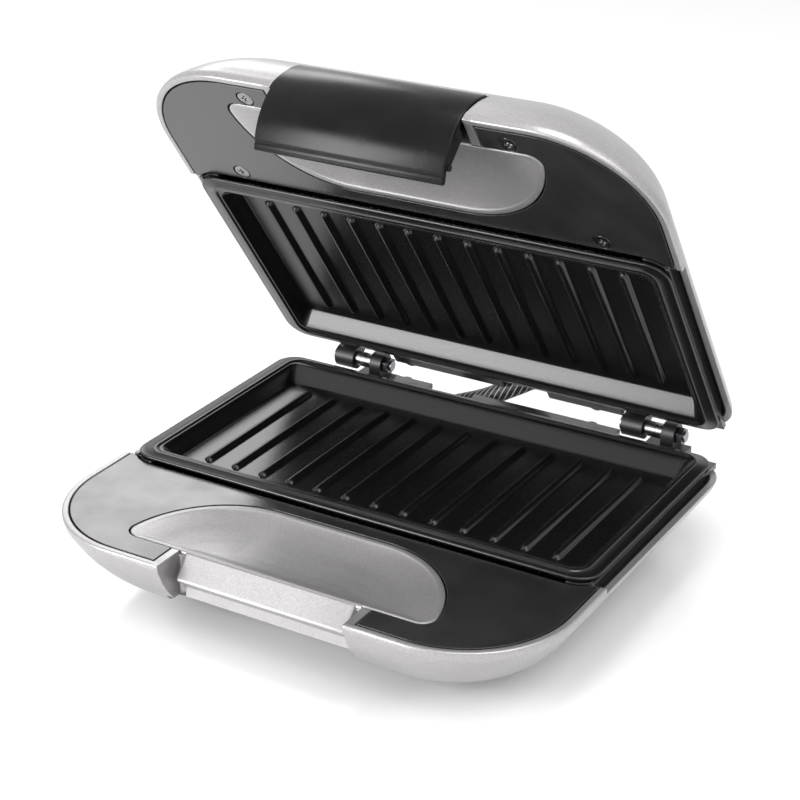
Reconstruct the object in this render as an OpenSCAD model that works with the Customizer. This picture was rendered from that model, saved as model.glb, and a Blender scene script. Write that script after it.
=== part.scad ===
/* [Grill plates] */
// Width of each grill plate across its flange
plate_w = 230; // [220:1:240]
// Depth of each grill plate across its flange, front to back
plate_d = 127; // [122:1:132]
// Corner radius of the plate flange
flange_r = 10; // [8:1:14]
// Thickness of the plate metal
plate_t = 1.6; // [1.2:0.1:2]
// Depth of the cooking tray below the flange face
tray_depth = 8; // [7:0.5:10]
// Width of the flat flange at the left and right of the tray
flange_side = 9; // [9:0.5:12]
// Width of the flat flange in front of and behind the tray
flange_end = 8.5; // [7.5:0.5:10]
// How far the tray walls lean in from the flange to the floor
tray_lean = 6; // [3:0.5:7]
// Number of ribs across the tray
rib_count = 13; // [9:1:13]
// Distance between the ribs
rib_pitch = 14.7; // [13:0.1:15]
// Radius of the half-round ribs
rib_r = 2; // [1.5:0.1:2.4]
// Gap between the ends of the ribs and the feet of the tray walls
rib_gap = 6.5; // [2:0.5:8]
// Radius of the bead that runs round the flange
bead_r = 0.9; // [0.8:0.1:1]

/* [Housing] */
// How far the housing reaches beyond the plates at each side
side_margin = 5.5; // [5:0.5:9]
// How far the housing reaches in front of the plates' hinge edge
body_front = 200.3; // [196:0.5:206]
// How far the housing reaches behind the plates' hinge edge
body_rear = 4; // [4:0.5:6]
// Depth of one housing half, from the flange face to its flat outside
half_h = 39; // [37:0.5:42]
// How far the deck lies below the flange face
deck_drop = 3; // [2.5:0.5:4]
// Radius of the two front corners, over the lip
front_r = 49.3; // [46:0.5:52]
// Radius of the two rear corners
tail_r = 20; // [16:1:22]
// Thickness of the housing wall
shell_t = 2.9; // [2.4:0.1:3]
// Thickness of the deck
deck_t = 2.5; // [2:0.1:3]
// Gap between deck, bowl and housing
seam = 0.8; // [0.6:0.1:1]
// How far the housing's edge steps down beside the plates
side_step = 2.5; // [2:0.5:3]
// Gap between the two flanges when the lid is shut
shut_gap = 0.4; // [0.4:0.1:0.8]

/* [Latch notch] */
// Width of the notch in the front of each housing
notch_w = 89; // [84:1:92]
// How far the notch's back wall lies behind the front lip
notch_depth = 15.1; // [14.6:0.1:16]
// Thickness of the walls at the two ends of the notch
notch_end_t = 3.6; // [3.4:0.1:4]
// Height of the notch, from the flange face to its lower edge
notch_h = 23; // [23:0.5:24]
// How far the catch nose stands out from the notch's back wall
nose_out = 7.8; // [7:0.1:8]
// Depth of the catch nose's crest below the flange face
nose_drop = 11.6; // [11:0.1:12]

/* [Finger bowl] */
// Radius of the two big curves of the bowl's outline
bowl_r = 48; // [46:0.5:49]
// Distance between the centres of those curves
bowl_span = 52; // [48:1:56]
// Radius of the bowl's two front tips
bowl_tip_r = 6; // [5:0.5:7]
// Width of the bowl's flat rim at its rear and sides
bowl_rim = 2.6; // [2.2:0.1:3.4]
// Width of the bowl's flat rim in front
bowl_front_rim = 1.2; // [1:0.1:1.6]
// Depth of the bowl
bowl_depth = 3.2; // [2.8:0.2:5]
// Thickness of the bowl's wall
bowl_t = 2; // [1.6:0.1:2.4]

/* [Latch handle] */
// Gap between the handle and each end of the notch
latch_gap = 0.6; // [0.5:0.1:1]
// Outer radius of the handle's curved plate
latch_r = 28.9; // [28:0.1:29.5]
// Thickness of the handle's curved plate
latch_t = 2.4; // [2.2:0.1:2.4]
// Radius of the handle's pivot stubs
stub_r = 2; // [1.8:0.1:2.4]
// Radius of the two guide stubs at the handle's lower end
guide_r = 1.5; // [1.2:0.1:1.6]

/* [Hinges] */
// Angle by which the lid stands open
lid_open = 54.6; // [40:0.1:100]
// How far the hinge line lies behind the plates' hinge edge
hinge_back = 10.5; // [10:0.1:12]
// Height of the hinge line over the lower flange face
hinge_rise = 0.75; // [0.2:0.05:1]
// Radius of the hinge pins
pin_r = 2.5; // [2:0.1:2.8]
// Running clearance of the pins and pivot stubs, on the radius
run_gap = 0.05; // [0.02:0.01:0.1]
// Radius of the rounded lugs and knuckles
lug_r = 5.5; // [5:0.1:5.6]
// Left end of the left hinge, from the middle of the housing
left_hinge_x = -90.6; // [-92:0.1:-88]
// Left end of the right hinge, from the middle of the housing
right_hinge_x = 65.3; // [62:0.1:67]

/* [Feet and fasteners] */
// Height of the feet under the housing
foot_h = 7; // [6:0.5:9]
// Radius of the rubber feet
foot_r = 7.5; // [6.5:0.5:9]
// Radius of the deck screws' shanks
screw_r = 1.6; // [1.4:0.1:1.8]
// Radius of the deck screws' heads
head_r = 3.6; // [3.2:0.1:4]

/* [Heating] */
// Radius of the tubular heating elements
tube_r = 3.2; // [3:0.1:3.5]
// Distance between the two long legs of each element
tube_span = 60; // [50:1:70]
// Thickness of the heat shields
shield_t = 0.6; // [0.5:0.1:0.8]

/* [Leads] */
// Radius of the braided sleeve between the halves
sleeve_r = 4.7; // [4:0.1:4.8]
// Radius of the inlet bush's body
inlet_r = 5; // [4.5:0.1:5.5]
// Height of the inlet below the flange face
inlet_drop = 17; // [16:0.5:18]

/* [Hidden] */
$fn = 48;

// Overlap that keeps cutters clear of coincident faces, and the gap between pieces that lie together
cut = 1;
seat = 0.05;

// Each half is drawn in its own frame: x across, y = 0 at the plates' hinge edge and negative
// towards the front, z = 0 at the face where the halves meet and negative into the housing
plate_back = (body_front - body_rear) / 2;
flange_z = half_h + foot_h;
body_w = plate_w + 2 * side_margin;
lip_z = -deck_drop;
edge_z = -deck_drop - side_step;
floor_z = -half_h;
inner_floor_z = floor_z + shell_t;
notch_y = -body_front + notch_depth;
step_y = -plate_d + 3;

// Deck: its outline lies inside the lip, its frame beside the plates lies under the flange
deck_w = body_w - 2 * (shell_t + seam);
deck_front = -body_front + shell_t + seam;
deck_r = front_r - shell_t - seam;
deck_bottom = lip_z - deck_t;
frame_t = 2;
frame_r = tail_r - 4;
frame_z = edge_z - 3;

// Raised panel down the middle of each flat outside
panel_w = 115;
panel_t = 0.8;
panel_z = -25;

// Catch nose in the lower notch: a wall that slopes out to a rounded crest, then falls back
nose_r = 2.2;
nose_w = notch_w - 7;
nose_wall = 3;
recess_y = notch_y - 1.6;
recess_z = -nose_drop - 6.4;
hollow_top = lip_z - 4;
hollow_foot = recess_z - 2;

// Flange face, tray and the well in the deck that the tray hangs in
face_z = -0.5;
tray_w = plate_w - 2 * flange_side;
tray_front = -plate_d + flange_end;
tray_back = -flange_end;
tray_r = 8;
tray_floor = -tray_depth;
tray_under = tray_floor - plate_t;
side_lean = 0.65 * tray_lean;
well_gap = 1;
well_w = tray_w + 2 * (plate_t + well_gap);
well_front = tray_front - plate_t - well_gap;
well_back = tray_back + plate_t + well_gap;
slot_w = well_w - 10;
slot_front = -plate_d - 1.6;
skirt_t = 1.8;
skirt_z = tray_under - 3;
skirt_front = slot_front - skirt_t;
skirt_back = well_back + skirt_t;

// Groove in the deck round the plate's front corners
groove_w = 1.5;
groove_d = 1.5;

// Ledge behind the plate, between the hinges, with a screw boss near each end
ledge_back = 8;
ledge_t = 2.4;
ledge_top = face_z - plate_t - seat;
ledge_boss_x = 50;
ledge_boss_r = 2.8;

// Finger bowl
bowl_front = notch_y + 1;
bowl_cy = bowl_front - 0.4;
rim_t = 1.6;
wall_top = lip_z - rim_t - seat;

// Deck screws: two in front of the bowl, two beside the slot
post_r = 4.2;
post_gap = 0.3;
front_screw = [notch_w / 2 + notch_end_t + 13.2, notch_y - 3.8];
side_screw = [body_w / 2 - 32.9, skirt_front - 3.2];
lid_screw_l = 12;
base_screw_end = -12;
head_h = 1.2;
boss_z = -20;
sunk_z = floor_z + 5;

// Each hinge, measured from its left end: lug, bush, knuckle, nut
hinge_xs = [left_hinge_x, right_hinge_x];
side_gap = 0.3;
lug_l = 10.5;
bush_l = 9;
bush_r = pin_r + 1.1;
knuckle_l = 6.2;
nut_l = 3.2;
nut_r = pin_r + 1.7;
bush_x = lug_l + side_gap;
knuckle_x = bush_x + bush_l + side_gap;
nut_x = knuckle_x + knuckle_l + seat;
block_l = nut_x + nut_l + 1.5;
block_top = hinge_rise - lug_r - 1.4;
block_h = 8;
block_rear = hinge_back + lug_r;
arm_rear = hinge_back + 2;
lid_axis_z = shut_gap - hinge_rise;
bolt_z = block_top - block_h / 2;
bolt_r = 1.5;
base_bolts = [bush_x + 4, block_l - 4];
lid_bolts = [lug_l / 2];

// Latch handle, in the lid half's frame
latch_cy = -body_front + latch_r;
latch_cz = -1.8;
latch_up = 46;
latch_down = 50;
pivot_y = -body_front + 6.8;
pivot_z = -6.5;
guide_y = -body_front + 9.8;
guide_z = 13.2;
arm_t = 1.8;
arm_inset = 0.8;
lip_r = 1.5;
latch_w = notch_w - 2 * latch_gap;
stub_l = latch_gap + 2.8;
arm_x = latch_w / 2 - arm_inset;

// Heating: the element hangs under the tray, the shield under the element
tube_z = tray_under - tube_r - seat;
tube_y = -plate_d / 2;
tube_left = -plate_w / 2 + 65;
tube_right = plate_w / 2 - 33;
cold_l = 8;
terminal_l = 6;
clip_xs = [tube_left + 20, tube_right - 37];
clip_side = 3.5;
clip_l = 8;
shield_z = tube_z - tube_r - 5;

// Pilot lamps, side by side on the lid
lens_r = 4;
lens_x = 13;
lens_y = -141;

// Mains inlet and feet
inlet_x = 45;
inlet_z = -inlet_drop;
feet = [[66, -147], [-66, -147], [74, -26], [-74, -26]];
foot_stem_r = 3;

// Sleeve with the lid's lead: its slots and its route in the base half's frame
base_slot_x = -24;
lid_slot_x = 20;
slot_z = edge_z - 5;
sleeve_route = [
    [-24, -3.2, -10.5], [-24, 1, -10.5], [-24, 5.5, -10.5], [-23, 10, -10.5], [-20, 13.6, -10.2],
    [-15.5, 15.7, -8.9], [-8.9, 16.6, -5.8], [-0.8, 17.2, -1], [6.5, 17.9, 3.3], [11.8, 18.6, 6.4],
    [16, 18.8, 8.4], [18.9, 17.9, 9.6], [20, 16.2, 10.7], [20, 14.4, 12.8], [20, 12.4, 15.6],
    [20, 10.9, 17.7]
];

function arc(c, r, from, to, n) =
    [for (i = [0:n]) let (a = from + (to - from) * i / n) [c[0] + r * cos(a), c[1] + r * sin(a)]];

// Rectangle from front to back with its own front and rear corner radii
function round_ring(w, front, back, r_front, r_back, n = 6) = concat(
    arc([-w / 2 + r_front, front + r_front], r_front, 180, 270, n),
    arc([w / 2 - r_front, front + r_front], r_front, 270, 360, n),
    arc([w / 2 - r_back, back - r_back], r_back, 0, 90, n),
    arc([-w / 2 + r_back, back - r_back], r_back, 90, 180, n)
);

// The bowl's D-shaped outline, drawn in by one inset at its rear and sides and by another in front
function bowl_ring(inset, front_inset) =
    let (
        tip = max(bowl_tip_r - inset, 1.5),
        r = bowl_r - inset,
        cx = bowl_span / 2,
        ty = bowl_front + front_inset + tip,
        tx = sqrt(pow(r - tip, 2) - pow(ty - bowl_cy, 2)),
        meet = atan2(ty - bowl_cy, tx)
    )
    concat(
        arc([cx + tx, ty], tip, -90, meet, 8),
        arc([cx, bowl_cy], r, meet + 6, 90, 14),
        arc([-cx, bowl_cy], r, 90, 174 - meet, 14),
        arc([-cx - tx, ty], tip, 180 - meet, 270, 8)
    );

// Stations of the housing from its lip to its flat outside: depth out of station_depth, how far
// it draws in at the sides, front and rear, and how much its front and rear corner radii shrink
station_depth = 36;
stations = [
    [0, 0, 0, 0, 0, 0],
    [3, 0.2, 0.2, 0, 0.1, 0],
    [5.6, 1.2, 1.2, 0, 0.5, 0],
    [9, 3.4, 2.6, 0, 1, 0],
    [13, 6.1, 4.7, 0, 2, 1],
    [17, 8.9, 7.5, 0, 3, 2],
    [21, 12, 11, 1, 4.4, 3],
    [25, 15.6, 15.3, 2.8, 6, 4.4],
    [29, 20, 20.6, 5.4, 8.4, 6],
    [33, 25.8, 27, 9.4, 11.6, 8],
    [36, 33, 34, 15, 16, 11]
];

function housing_ring(s, wall) = round_ring(
    body_w - 2 * (s[1] + wall), -body_front + s[2] + wall, body_rear - s[3] - wall,
    front_r - s[4] - wall, max(tail_r - s[5] - wall, 2), 12
);

// Rings of the housing, drawn in by a wall thickness all round
function housing_rings(wall) = [
    for (s = stations) [housing_ring(s, wall), lip_z - s[0] / station_depth * (half_h - deck_drop - wall)]
];

// Solid through a list of [outline, height] rings with equal point counts, going down
module loft(rings) {
    n = len(rings[0][0]);
    m = len(rings);
    points = [for (ring = rings) for (p = ring[0]) [p[0], p[1], ring[1]]];
    top = [for (i = [n - 1:-1:0]) i];
    bottom = [for (i = [0:n - 1]) (m - 1) * n + i];
    sides = [
        for (k = [0:m - 2]) for (i = [0:n - 1])
        let (a = k * n + i, b = k * n + (i + 1) % n)
        each [[a, b, b + n], [a, b + n, a + n]]
    ];
    polyhedron(points, concat([top], sides, [bottom]));
}

// Flat rounded rectangle from front to back, with true arcs
module sheet(w, front, back, r) {
    for (x = [-w / 2 + r, w / 2 - r], y = [front + r, back - r]) translate([x, y]) circle(r = r);
    translate([-w / 2 + r, front]) square([w - 2 * r, back - front]);
    translate([-w / 2, front + r]) square([w, back - front - 2 * r]);
}

module slab(z0, z1) translate([0, 0, z0]) linear_extrude(z1 - z0) children();

module block(x0, x1, y0, y1, z0, z1) translate([x0, y0, z0]) cube([x1 - x0, y1 - y0, z1 - z0]);

module rod_x(x0, x1, y, z, r) translate([x0, y, z]) rotate([0, 90, 0]) cylinder(h = x1 - x0, r = r);

module rod_y(y0, y1, x, z, r) translate([x, y0, z]) rotate([-90, 0, 0]) cylinder(h = y1 - y0, r = r);

module rod_z(z0, z1, at, r) translate([at[0], at[1], z0]) cylinder(h = z1 - z0, r = r);

module both_sides() {
    children();
    mirror([1, 0, 0]) children();
}

// Screw post with a flat in front of the deck's skirt
module post(z0, z1, at) difference() {
    rod_z(z0, z1, at, post_r);
    block(at[0] - post_r - cut, at[0] + post_r + cut, skirt_front - post_gap, 0, z0 - cut, z1 + cut);
}

// The two halves' frames: the base as it stands, the lid turned up about the hinge line
module in_base() translate([0, plate_back, flange_z]) children();

module in_lid()
    translate([0, plate_back + hinge_back, flange_z + hinge_rise]) rotate([-lid_open, 0, 0])
        translate([0, -hinge_back, shut_gap - hinge_rise]) mirror([0, 0, 1]) children();

// Space of the notch, grown by a wall where it is kept out of the hollow
module notch_space(grow)
    block(-notch_w / 2 - grow, notch_w / 2 + grow, -body_front - cut, notch_y + grow, -notch_h - grow, cut);

// Underside behind the notch, cut away at a slope for the fingers that lift the toaster
module grip_slope(grow) {
    end_y = recess_y + 2 * (half_h - notch_h) + 2 * grow;
    across(notch_w + 2 * grow) polygon([
        [-body_front - cut, -notch_h + grow], [recess_y, -notch_h + grow], [end_y, -half_h],
        [end_y, -half_h - cut], [-body_front - cut, -half_h - cut]
    ]);
}

// Side view of the catch nose, shifted back by a wall for its hollow
function nose_curve(back) = arc([notch_y - nose_out + nose_r + back, -nose_drop], nose_r, 135, 240, 8);

// Side view drawn in y and z, pushed out across the toaster
module across(w) rotate([90, 0, 90]) translate([0, 0, -w / 2]) linear_extrude(w) children();

module catch_nose() across(nose_w) polygon(concat(
    [[notch_y + seat, wall_top], [notch_y, wall_top], [notch_y, lip_z]],
    nose_curve(0),
    [[recess_y, recess_z], [recess_y, -notch_h], [notch_y + seat, -notch_h]]
));

module nose_hollow() {
    inner_y = notch_y + notch_end_t + cut;
    front_y = recess_y + nose_wall;
    across(nose_w - 2 * nose_wall) polygon(concat(
        [[inner_y, hollow_top], [notch_y + nose_wall + hollow_top - lip_z, hollow_top]],
        nose_curve(nose_wall),
        [[front_y, recess_z], [front_y, hollow_foot], [inner_y, hollow_foot]]
    ));
}

// Raised middle panel over the flat outside and the curve in front of it
module panel() intersection() {
    loft(housing_rings(-panel_t));
    block(-panel_w / 2, panel_w / 2, -body_front, body_rear, floor_z - panel_t, panel_z);
}

// Slot in a rear edge for the sleeve
module sleeve_slot(x) {
    w = 2 * sleeve_r + 1;
    rod_y(-12, body_rear + cut, x, slot_z, w / 2);
    block(x - w / 2, x + w / 2, -12, body_rear + cut, slot_z, cut);
}

// Wall of one half, open towards the deck; sloped is true for the half that stands on the table
module housing(posts, post_top, sloped) {
    difference() {
        union() {
            loft(housing_rings(0));
            panel();
        }
        difference() {
            loft(concat([[housing_rings(shell_t)[0][0], lip_z + cut]], housing_rings(shell_t)));
            notch_space(notch_end_t);
            if (sloped) grip_slope(shell_t);
            for (p = posts) post(floor_z, post_top - seat, p);
        }
        notch_space(0);
        if (sloped) grip_slope(0);
        block(-body_w, body_w, step_y, body_rear + cut, edge_z, cut);
        slab(wall_top, cut) polygon(bowl_ring(-seam, -seam));
        block(-notch_w / 2, notch_w / 2, notch_y - cut, bowl_front + seam, wall_top, cut);
    }
}

side_posts = [side_screw, [-side_screw[0], side_screw[1]]];
front_posts = [front_screw, [-front_screw[0], front_screw[1]]];

module bolt_holes(bolts) for (x = hinge_xs, b = bolts)
    rod_y(body_rear - shell_t - cut, body_rear + cut, x + b, bolt_z, bolt_r + seat);

module base_shell() color("silver") in_base() difference() {
    union() {
        housing(side_posts, boss_z, true);
        catch_nose();
    }
    nose_hollow();
    for (p = side_posts) {
        rod_z(floor_z - cut, sunk_z, p, head_r + 0.4);
        rod_z(floor_z, boss_z + cut, p, screw_r + 0.3);
    }
    for (p = feet) rod_z(floor_z - cut, inner_floor_z + cut, p, foot_stem_r + seat);
    bolt_holes(base_bolts);
    sleeve_slot(base_slot_x);
    rod_y(body_rear - shell_t - cut, body_rear + cut, inlet_x, inlet_z, inlet_r + seat);
}

module lid_shell() color("silver") in_lid() difference() {
    housing(concat(side_posts, front_posts), deck_bottom, false);
    for (p = concat(side_posts, front_posts)) rod_z(-18, lip_z, p, screw_r + seat);
    for (x = [-lens_x, lens_x]) rod_z(floor_z - cut, inner_floor_z + cut, [x, lens_y], lens_r + seat);
    bolt_holes(lid_bolts);
    sleeve_slot(lid_slot_x);
    both_sides() rod_x(latch_w / 2, latch_w / 2 + stub_l + 0.5, pivot_y, pivot_z, stub_r + run_gap);
}

module deck_outline() {
    round_y = deck_front + deck_r;
    for (x = [-deck_w / 2 + deck_r, deck_w / 2 - deck_r])
        translate([x, round_y]) circle(r = deck_r, $fn = 96);
    translate([-deck_w / 2 + deck_r, deck_front]) square([deck_w - 2 * deck_r, deck_r]);
    translate([-deck_w / 2, round_y]) square([deck_w, step_y - round_y]);
}

module well_outline() {
    sheet(well_w, well_front, well_back, tray_r + plate_t);
    translate([-slot_w / 2, slot_front]) square([slot_w, 20]);
}

// Flat of the deck in front of the plate, with the bowl and the notch left out
module deck_face() difference() {
    union() {
        intersection() {
            deck_outline();
            translate([-body_w, -body_front]) square([2 * body_w, body_front + step_y]);
        }
        translate([-plate_w / 2, step_y - cut]) square([plate_w, -step_y + cut]);
    }
    polygon(bowl_ring(-seam, -seam));
    translate([-notch_w / 2 - notch_end_t - seam, -body_front])
        square([notch_w + 2 * (notch_end_t + seam), notch_depth + 1]);
}

// Upright frame under the plate's flange
module deck_frame() difference() {
    sheet(plate_w, -plate_d - frame_r, 0, frame_r);
    sheet(plate_w - 2 * frame_t, -plate_d - frame_r, -frame_t, frame_r - frame_t);
    translate([-plate_w, -body_front]) square([2 * plate_w, body_front + step_y]);
}

module rear_ledge() {
    x0 = left_hinge_x + block_l + 1.5;
    x1 = right_hinge_x - 1.3;
    block(x0, x1, -frame_t, ledge_back, ledge_top - ledge_t, ledge_top);
    for (x = [-ledge_boss_x, ledge_boss_x])
        rod_z(ledge_top - ledge_t - 0.6, ledge_top, [x, ledge_back - 1.5], ledge_boss_r);
}

module corner_groove() slab(lip_z - groove_d, cut) difference() {
    sheet(plate_w + 2 * groove_w, -plate_d - groove_w, 0, flange_r + groove_w);
    sheet(plate_w, -plate_d, 0, flange_r);
    translate([-body_w, step_y]) square([2 * body_w, body_front]);
}

module deck(screws, sunk) difference() {
    union() {
        slab(deck_bottom, lip_z) deck_face();
        slab(frame_z, ledge_top) deck_frame();
        slab(skirt_z, deck_bottom + seat) sheet(well_w + 2 * skirt_t, skirt_front, skirt_back, tray_r);
        rear_ledge();
        if (!sunk) for (p = screws) post(boss_z, deck_bottom + seat, p);
    }
    slab(skirt_z - cut, cut) well_outline();
    corner_groove();
    for (p = screws) {
        if (sunk) rod_z(lip_z - head_h - 0.2, cut, p, head_r + 0.6);
        if (sunk) rod_z(skirt_z - cut, cut, p, screw_r + 0.3);
        if (!sunk) rod_z(boss_z - cut, base_screw_end + 2, p, screw_r + seat);
    }
}

// Gap in the ledge where the sleeve bends past it
module ledge_gap(x) block(x - 12, x + 12, seat, ledge_back + ledge_boss_r, -notch_h, cut);

module base_deck() color("dimgray") in_base() difference() {
    deck(side_posts, false);
    sleeve_slot(base_slot_x);
    ledge_gap(base_slot_x);
}

module lid_deck() color("dimgray") in_lid() difference() {
    deck(concat(side_posts, front_posts), true);
    sleeve_slot(lid_slot_x);
    ledge_gap(lid_slot_x - 6);
}

// Steps of the bowl from its rim to its floor: inset at the rear and sides, in front, share of the depth
bowl_steps = [
    [0, 0, 0], [0.6, 0.6, 0.08], [4, 3.2, 0.28], [9, 6.5, 0.54], [15, 10.5, 0.8], [24, 16, 1]
];

module finger_bowl() {
    under = lip_z - rim_t;
    edge = notch_end_t - seam;
    difference() {
        union() {
            slab(under, lip_z) polygon(bowl_ring(0, 0));
            block(-notch_w / 2 + seam, notch_w / 2 - seam, notch_y + seat, bowl_front + cut, under, lip_z);
            loft([
                [bowl_ring(edge, edge), under + seat],
                [bowl_ring(edge + 0.6, edge + 0.6), lip_z - 0.4 * bowl_depth - bowl_t],
                [bowl_ring(bowl_rim + 14, bowl_rim + 10), lip_z - bowl_depth - bowl_t]
            ]);
        }
        loft(concat(
            [[bowl_ring(bowl_rim, bowl_front_rim), lip_z + cut]],
            [for (s = bowl_steps)
                [bowl_ring(bowl_rim + s[0], bowl_front_rim + s[1]), lip_z - s[2] * bowl_depth]]
        ));
    }
}

module base_finger_bowl() color("silver") in_base() finger_bowl();
module lid_finger_bowl() color("silver") in_lid() finger_bowl();

function tray_ring(grow, lean_in) = round_ring(
    tray_w + 2 * (grow - side_lean * lean_in), tray_front - grow + tray_lean * lean_in,
    tray_back + grow - tray_lean * lean_in, tray_r + grow, tray_r + grow
);

// Half-round rib with rounded ends, standing on the tray's floor
module rib(x) {
    y0 = tray_front + tray_lean + rib_gap + rib_r;
    y1 = tray_back - tray_lean - rib_gap - rib_r;
    intersection() {
        union() {
            rod_y(y0, y1, x, tray_floor, rib_r);
            for (y = [y0, y1]) translate([x, y, tray_floor]) sphere(r = rib_r);
        }
        block(x - rib_r - cut, x + rib_r + cut, tray_front, tray_back, tray_floor - plate_t / 2, 0);
    }
}

// Bead round the flange: straight rods joined by quarter rings
module bead(w, front, back, r) {
    z = face_z + 0.6 - bead_r;
    xs = w / 2 - r;
    for (y = [front, back]) rod_x(-xs, xs, y, z, bead_r);
    for (x = [-w / 2, w / 2]) rod_y(front + r, back - r, x, z, bead_r);
    for (c = [[-xs, front + r, 180], [xs, front + r, 270], [xs, back - r, 0], [-xs, back - r, 90]])
        translate([c[0], c[1], z]) rotate([0, 0, c[2]]) rotate_extrude(angle = 90)
            translate([r, 0]) circle(r = bead_r, $fn = 24);
}

module grill_plate() {
    difference() {
        union() {
            slab(face_z - plate_t, face_z) sheet(plate_w, -plate_d, 0, flange_r);
            loft([[tray_ring(plate_t, 0), face_z - plate_t / 2], [tray_ring(plate_t, 1), tray_under]]);
            bead(plate_w - 13, -plate_d + 5, -3.5, 7);
        }
        loft([[tray_ring(0, 0), cut], [tray_ring(0, 0), face_z], [tray_ring(0, 1), tray_floor]]);
    }
    for (i = [0:rib_count - 1]) rib((i - (rib_count - 1) / 2) * rib_pitch);
}

module lower_plate() color("#1c1c1e") in_base() grill_plate();
module upper_plate() color("#1c1c1e") in_lid() grill_plate();

// U-shaped tubular element with an insulated terminal at each end
module element() {
    r = tube_span / 2;
    for (y = [tube_y - r, tube_y + r]) {
        rod_x(tube_left, tube_right, y, tube_z, tube_r);
        rod_x(tube_right - cut, tube_right + cold_l, y, tube_z, tube_r - 1);
        rod_x(tube_right + cold_l - cut, tube_right + cold_l + terminal_l, y, tube_z, tube_r / 3);
    }
    translate([tube_left, tube_y, tube_z]) rotate([0, 0, 90]) rotate_extrude(angle = 180)
        translate([r, 0]) circle(r = tube_r);
}

// Saddles that hold the element up against the tray
module element_clips() for (x = clip_xs, y = [tube_y - tube_span / 2, tube_y + tube_span / 2])
    translate([x, y, 0]) difference() {
        half_l = clip_l / 2;
        side = tube_r + clip_side;
        block(-half_l, half_l, -side, side, tube_z - tube_r - 1.2, tray_under - seat);
        rod_x(-half_l - cut, half_l + cut, 0, tube_z, tube_r + seat);
        block(-half_l - cut, half_l + cut, -tube_r - seat, tube_r + seat, tube_z, tray_under);
    }

// Pan of thin sheet under the element, its rim against the deck's skirt
module heat_shield() {
    rim_z = skirt_z - seat;
    pan_w = well_w - 6;
    front = well_front + 3;
    back = well_back - 3;
    difference() {
        union() {
            slab(rim_z - shield_t, rim_z) sheet(well_w + 2 * skirt_t, skirt_front, skirt_back, tray_r);
            slab(shield_z - shield_t, rim_z) sheet(pan_w, front, back, tray_r);
        }
        slab(shield_z, rim_z + cut)
            sheet(pan_w - 2 * shield_t, front + shield_t, back - shield_t, tray_r - shield_t);
    }
}

module lower_element() color("gray") in_base() element();
module upper_element() color("gray") in_lid() element();
module lower_element_clips() color("lightgray") in_base() element_clips();
module upper_element_clips() color("lightgray") in_lid() element_clips();
module lower_heat_shield() color("gainsboro") in_base() heat_shield();
module upper_heat_shield() color("gainsboro") in_lid() heat_shield();

// Snap disc with two tabs, pressed to the underside of the lower tray
module thermostat() color("burlywood") in_base() {
    rod_z(tray_under - seat - 5, tray_under - seat, [0, tube_y], 8);
    block(-13, 13, tube_y - 2.5, tube_y + 2.5, tray_under - seat - 5.8, tray_under - seat - 4);
}

// Cylindrical fuse in a saddle beside the thermostat
module thermal_fuse() color("white") in_base() {
    z = tray_under - seat - 2.5;
    rod_x(20, 36, tube_y, z, 2.5);
    block(25, 31, tube_y - 5, tube_y + 5, z + 1.3, tray_under - seat);
}

// Terminal block on the floor of the base
module terminal_block() color("ivory") in_base() difference() {
    z = inner_floor_z + seat;
    block(inlet_x - 14, inlet_x + 14, -34, -22, z, z + 10);
    for (i = [-1:1]) rod_y(-35, -21, inlet_x + i * 9, z + 5, 1.8);
}

// Bush in the rear wall for the mains lead
module cord_inlet_bush() color("black") in_base() difference() {
    union() {
        rod_y(body_rear - shell_t - 2, body_rear + seat + 2, inlet_x, inlet_z, inlet_r);
        rod_y(body_rear + seat, body_rear + seat + 2, inlet_x, inlet_z, inlet_r + 2.5);
    }
    rod_y(-12, body_rear + 12, inlet_x, inlet_z, inlet_r - 1.5);
}

// Push-in rubber feet
module rubber_feet() color("black") in_base() for (p = feet) {
    rod_z(floor_z - foot_h, floor_z - seat, p, foot_r);
    rod_z(floor_z - seat - cut, inner_floor_z + 1.5, p, foot_stem_r);
}

// Pan-head screw going down from its seat, with a cross recess
module screw(at, seat_z, length, head) {
    rod_z(seat_z - length, seat_z + head / 2, at, screw_r);
    difference() {
        rod_z(seat_z, seat_z + head, at, head_r);
        for (a = [0, 90]) translate([at[0], at[1], seat_z + head]) rotate([0, 0, a])
            cube([3.6, 0.9, 1.2], center = true);
    }
}

module lid_screws() color("dimgray") in_lid()
    for (p = concat(side_posts, front_posts)) screw(p, lip_z - head_h - 0.2 + seat, lid_screw_l, head_h);

module base_screws() color("dimgray") in_base()
    for (p = side_posts) translate([0, 0, sunk_z - seat]) mirror([0, 0, 1])
        screw(p, 0, base_screw_end - sunk_z, 2);

// Screws through a hinge part into the rear wall
module hinge_screws(bolts, face) for (x = hinge_xs, b = bolts) {
    rod_y(body_rear - shell_t, face + seat + 1, x + b, bolt_z, bolt_r);
    difference() {
        rod_y(face + seat, face + seat + 1.6, x + b, bolt_z, bolt_r + 1.5);
        for (a = [0, 90]) translate([x + b, face + seat + 1.6, bolt_z]) rotate([0, a, 0])
            cube([3, 1.2, 0.8], center = true);
    }
}

module base_hinge_screws() color("dimgray") in_base() hinge_screws(base_bolts, block_rear);
module lid_hinge_screws() color("dimgray") in_lid() hinge_screws(lid_bolts, arm_rear);

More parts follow.
